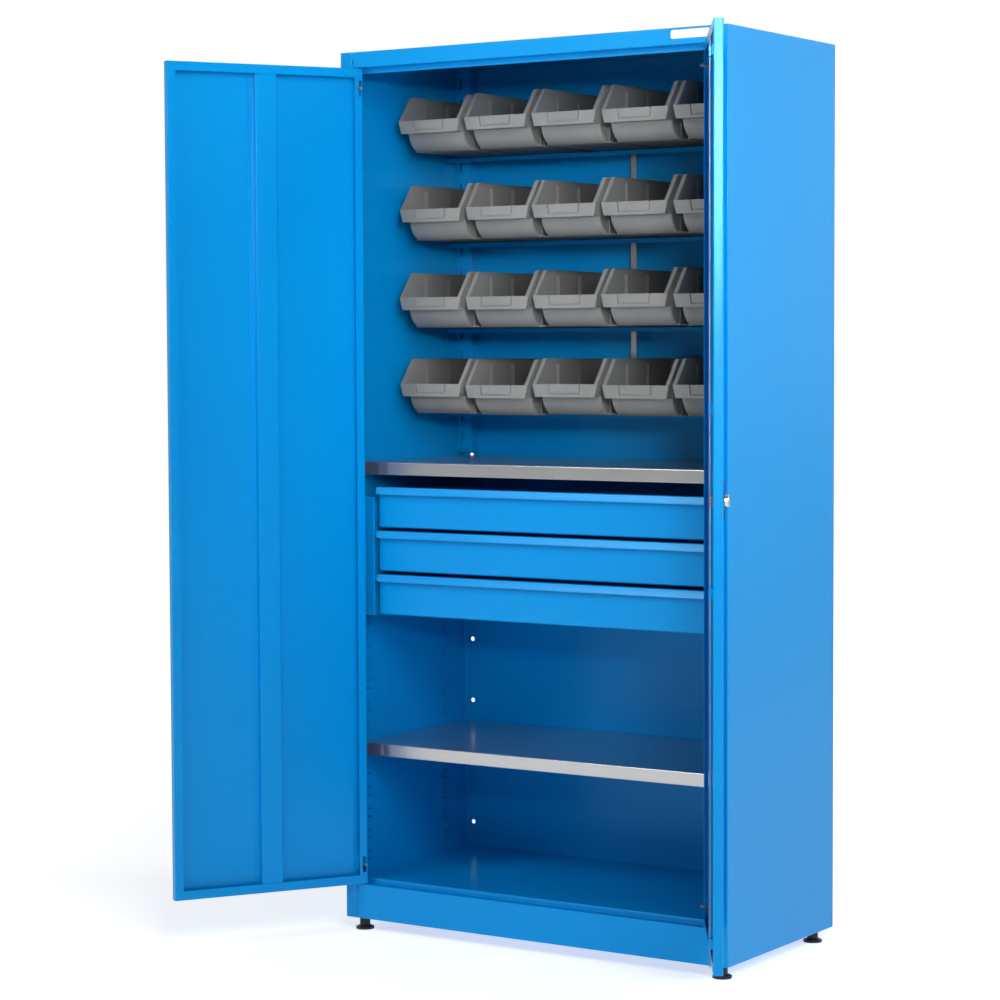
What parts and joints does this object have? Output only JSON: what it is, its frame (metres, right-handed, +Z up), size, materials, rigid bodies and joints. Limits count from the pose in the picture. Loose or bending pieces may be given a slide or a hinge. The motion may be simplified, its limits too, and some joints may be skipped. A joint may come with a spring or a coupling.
{
  "type": "materials cabinet",
  "caption": "Tall two-door steel storage cabinet with open-fronted hanging bins above, drawers at mid height and shelves below, on levelling feet.",
  "frame": {"origin": "on the floor under the middle of the whole footprint with the doors open as in the picture", "axes": "+Z up, +Y from the door side to the back panel, +X to the right as seen from the front"},
  "size_m": [1.3968, 0.8862, 2.01],
  "materials": {
    "blue_powder_coat": "smooth semi-gloss powder coat",
    "galvanised_sheet": "bright galvanised",
    "zinc_steel": "zinc plated",
    "grey_plastic": "moulded, fine satin",
    "black_plastic": "moulded, satin",
    "bright_metal": "polished"
  },
  "bodies": {
    "cabinet": {"left_side_panel": "blue_powder_coat", "right_side_panel": "blue_powder_coat", "back_panel": "blue_powder_coat", "top_panel": "blue_powder_coat", "bottom_panel": "blue_powder_coat", "slotted_liners": "blue_powder_coat", "levelling_feet": "black_plastic", "upper_shelf": "galvanised_sheet", "lower_shelf": "galvanised_sheet", "shelf_clips": "zinc_steel", "drawer_unit_sides": "blue_powder_coat", "slide_outer_rails": "zinc_steel", "bin_uprights": "blue_powder_coat", "bin_rails": "blue_powder_coat", "centre_tie_bar": "galvanised_sheet"},
    "left_door": {"left_door": "blue_powder_coat", "left_door_stiffener": "blue_powder_coat", "left_hinge_pins": "zinc_steel"},
    "right_door": {"right_door": "blue_powder_coat", "right_door_stiffener": "blue_powder_coat", "right_hinge_pins": "zinc_steel", "lock_escutcheon": "black_plastic", "lock_case": "zinc_steel", "lock_rod_guides": "blue_powder_coat"},
    "lock": {"lock_knob": "bright_metal", "lock_cam": "zinc_steel"},
    "upper_rod": {"upper_lock_rod": "zinc_steel"},
    "lower_rod": {"lower_lock_rod": "zinc_steel"},
    "drawer_1": {"drawer_1_front": "blue_powder_coat", "drawer_1_tray": "blue_powder_coat", "drawer_1_slide_inners": "zinc_steel"},
    "drawer_1_middles": {"drawer_1_slide_middles": "zinc_steel"},
    "drawer_2": {"drawer_2_front": "blue_powder_coat", "drawer_2_tray": "blue_powder_coat", "drawer_2_slide_inners": "zinc_steel"},
    "drawer_2_middles": {"drawer_2_slide_middles": "zinc_steel"},
    "drawer_3": {"drawer_3_front": "blue_powder_coat", "drawer_3_tray": "blue_powder_coat", "drawer_3_slide_inners": "zinc_steel"},
    "drawer_3_middles": {"drawer_3_slide_middles": "zinc_steel"},
    "bin_row1_col1": {"bin_row1_col1": "grey_plastic"},
    "bin_row1_col2": {"bin_row1_col2": "grey_plastic"},
    "bin_row1_col3": {"bin_row1_col3": "grey_plastic"},
    "bin_row1_col4": {"bin_row1_col4": "grey_plastic"},
    "bin_row1_col5": {"bin_row1_col5": "grey_plastic"},
    "bin_row2_col1": {"bin_row2_col1": "grey_plastic"},
    "bin_row2_col2": {"bin_row2_col2": "grey_plastic"},
    "bin_row2_col3": {"bin_row2_col3": "grey_plastic"},
    "bin_row2_col4": {"bin_row2_col4": "grey_plastic"},
    "bin_row2_col5": {"bin_row2_col5": "grey_plastic"},
    "bin_row3_col1": {"bin_row3_col1": "grey_plastic"},
    "bin_row3_col2": {"bin_row3_col2": "grey_plastic"},
    "bin_row3_col3": {"bin_row3_col3": "grey_plastic"},
    "bin_row3_col4": {"bin_row3_col4": "grey_plastic"},
    "bin_row3_col5": {"bin_row3_col5": "grey_plastic"},
    "bin_row4_col1": {"bin_row4_col1": "grey_plastic"},
    "bin_row4_col2": {"bin_row4_col2": "grey_plastic"},
    "bin_row4_col3": {"bin_row4_col3": "grey_plastic"},
    "bin_row4_col4": {"bin_row4_col4": "grey_plastic"},
    "bin_row4_col5": {"bin_row4_col5": "grey_plastic"}
  },
  "joints": [
    {"name": "left_door_hinge", "type": "hinge", "parent": "cabinet", "child": "left_door", "pos_m": [-0.4575, -0.04693, 0.03], "axis": [0, 0, -1], "range_deg": [-121.4, 3.6]},
    {"name": "right_door_hinge", "type": "hinge", "parent": "cabinet", "child": "right_door", "pos_m": [0.4575, -0.04693, 0.03], "axis": [0, 0, 1], "range_deg": [-121.4, 3.6]},
    {"name": "upper_rod_slide", "type": "slide", "parent": "right_door", "child": "upper_rod", "axis": [0, 0, 1], "range_m": [0, 0.01414]},
    {"name": "lock_turn", "type": "hinge", "parent": "right_door", "child": "lock", "pos_m": [0.67945, -0.41054, 1.042], "axis": [0.8536, 0.521, 0], "range_deg": [0, 90]},
    {"name": "lower_rod_slide", "type": "slide", "parent": "right_door", "child": "lower_rod", "axis": [0, 0, -1], "range_m": [0, 0.01414]},
    {"name": "drawer_1_slide", "type": "slide", "parent": "cabinet", "child": "drawer_1", "axis": [0, -1, 0], "range_m": [0, 0.35]},
    {"name": "drawer_1_middles_slide", "type": "slide", "parent": "cabinet", "child": "drawer_1_middles", "axis": [0, -1, 0], "range_m": [0, 0.175]},
    {"name": "drawer_2_slide", "type": "slide", "parent": "cabinet", "child": "drawer_2", "axis": [0, -1, 0], "range_m": [0, 0.35]},
    {"name": "drawer_2_middles_slide", "type": "slide", "parent": "cabinet", "child": "drawer_2_middles", "axis": [0, -1, 0], "range_m": [0, 0.175]},
    {"name": "drawer_3_slide", "type": "slide", "parent": "cabinet", "child": "drawer_3", "axis": [0, -1, 0], "range_m": [0, 0.35]},
    {"name": "drawer_3_middles_slide", "type": "slide", "parent": "cabinet", "child": "drawer_3_middles", "axis": [0, -1, 0], "range_m": [0, 0.175]},
    {"name": "bin_row1_col1_lift", "type": "slide", "parent": "cabinet", "child": "bin_row1_col1", "axis": [0, 0, 1], "range_m": [0, 0.014]},
    {"name": "bin_row1_col2_lift", "type": "slide", "parent": "cabinet", "child": "bin_row1_col2", "axis": [0, 0, 1], "range_m": [0, 0.014]},
    {"name": "bin_row1_col3_lift", "type": "slide", "parent": "cabinet", "child": "bin_row1_col3", "axis": [0, 0, 1], "range_m": [0, 0.014]},
    {"name": "bin_row1_col4_lift", "type": "slide", "parent": "cabinet", "child": "bin_row1_col4", "axis": [0, 0, 1], "range_m": [0, 0.014]},
    {"name": "bin_row1_col5_lift", "type": "slide", "parent": "cabinet", "child": "bin_row1_col5", "axis": [0, 0, 1], "range_m": [0, 0.014]},
    {"name": "bin_row2_col1_lift", "type": "slide", "parent": "cabinet", "child": "bin_row2_col1", "axis": [0, 0, 1], "range_m": [0, 0.014]},
    {"name": "bin_row2_col2_lift", "type": "slide", "parent": "cabinet", "child": "bin_row2_col2", "axis": [0, 0, 1], "range_m": [0, 0.014]},
    {"name": "bin_row2_col3_lift", "type": "slide", "parent": "cabinet", "child": "bin_row2_col3", "axis": [0, 0, 1], "range_m": [0, 0.014]},
    {"name": "bin_row2_col4_lift", "type": "slide", "parent": "cabinet", "child": "bin_row2_col4", "axis": [0, 0, 1], "range_m": [0, 0.014]},
    {"name": "bin_row2_col5_lift", "type": "slide", "parent": "cabinet", "child": "bin_row2_col5", "axis": [0, 0, 1], "range_m": [0, 0.014]},
    {"name": "bin_row3_col1_lift", "type": "slide", "parent": "cabinet", "child": "bin_row3_col1", "axis": [0, 0, 1], "range_m": [0, 0.014]},
    {"name": "bin_row3_col2_lift", "type": "slide", "parent": "cabinet", "child": "bin_row3_col2", "axis": [0, 0, 1], "range_m": [0, 0.014]},
    {"name": "bin_row3_col3_lift", "type": "slide", "parent": "cabinet", "child": "bin_row3_col3", "axis": [0, 0, 1], "range_m": [0, 0.014]},
    {"name": "bin_row3_col4_lift", "type": "slide", "parent": "cabinet", "child": "bin_row3_col4", "axis": [0, 0, 1], "range_m": [0, 0.014]},
    {"name": "bin_row3_col5_lift", "type": "slide", "parent": "cabinet", "child": "bin_row3_col5", "axis": [0, 0, 1], "range_m": [0, 0.014]},
    {"name": "bin_row4_col1_lift", "type": "slide", "parent": "cabinet", "child": "bin_row4_col1", "axis": [0, 0, 1], "range_m": [0, 0.014]},
    {"name": "bin_row4_col2_lift", "type": "slide", "parent": "cabinet", "child": "bin_row4_col2", "axis": [0, 0, 1], "range_m": [0, 0.014]},
    {"name": "bin_row4_col3_lift", "type": "slide", "parent": "cabinet", "child": "bin_row4_col3", "axis": [0, 0, 1], "range_m": [0, 0.014]},
    {"name": "bin_row4_col4_lift", "type": "slide", "parent": "cabinet", "child": "bin_row4_col4", "axis": [0, 0, 1], "range_m": [0, 0.014]},
    {"name": "bin_row4_col5_lift", "type": "slide", "parent": "cabinet", "child": "bin_row4_col5", "axis": [0, 0, 1], "range_m": [0, 0.014]}
  ],
  "couplings": [
    {"joint": "lock_turn", "follows": "upper_rod_slide", "rad_per_m": 111.07},
    {"joint": "lower_rod_slide", "follows": "upper_rod_slide", "ratio": 1},
    {"joint": "drawer_1_middles_slide", "follows": "drawer_1_slide", "ratio": 0.5},
    {"joint": "drawer_2_middles_slide", "follows": "drawer_2_slide", "ratio": 0.5},
    {"joint": "drawer_3_middles_slide", "follows": "drawer_3_slide", "ratio": 0.5}
  ]
}
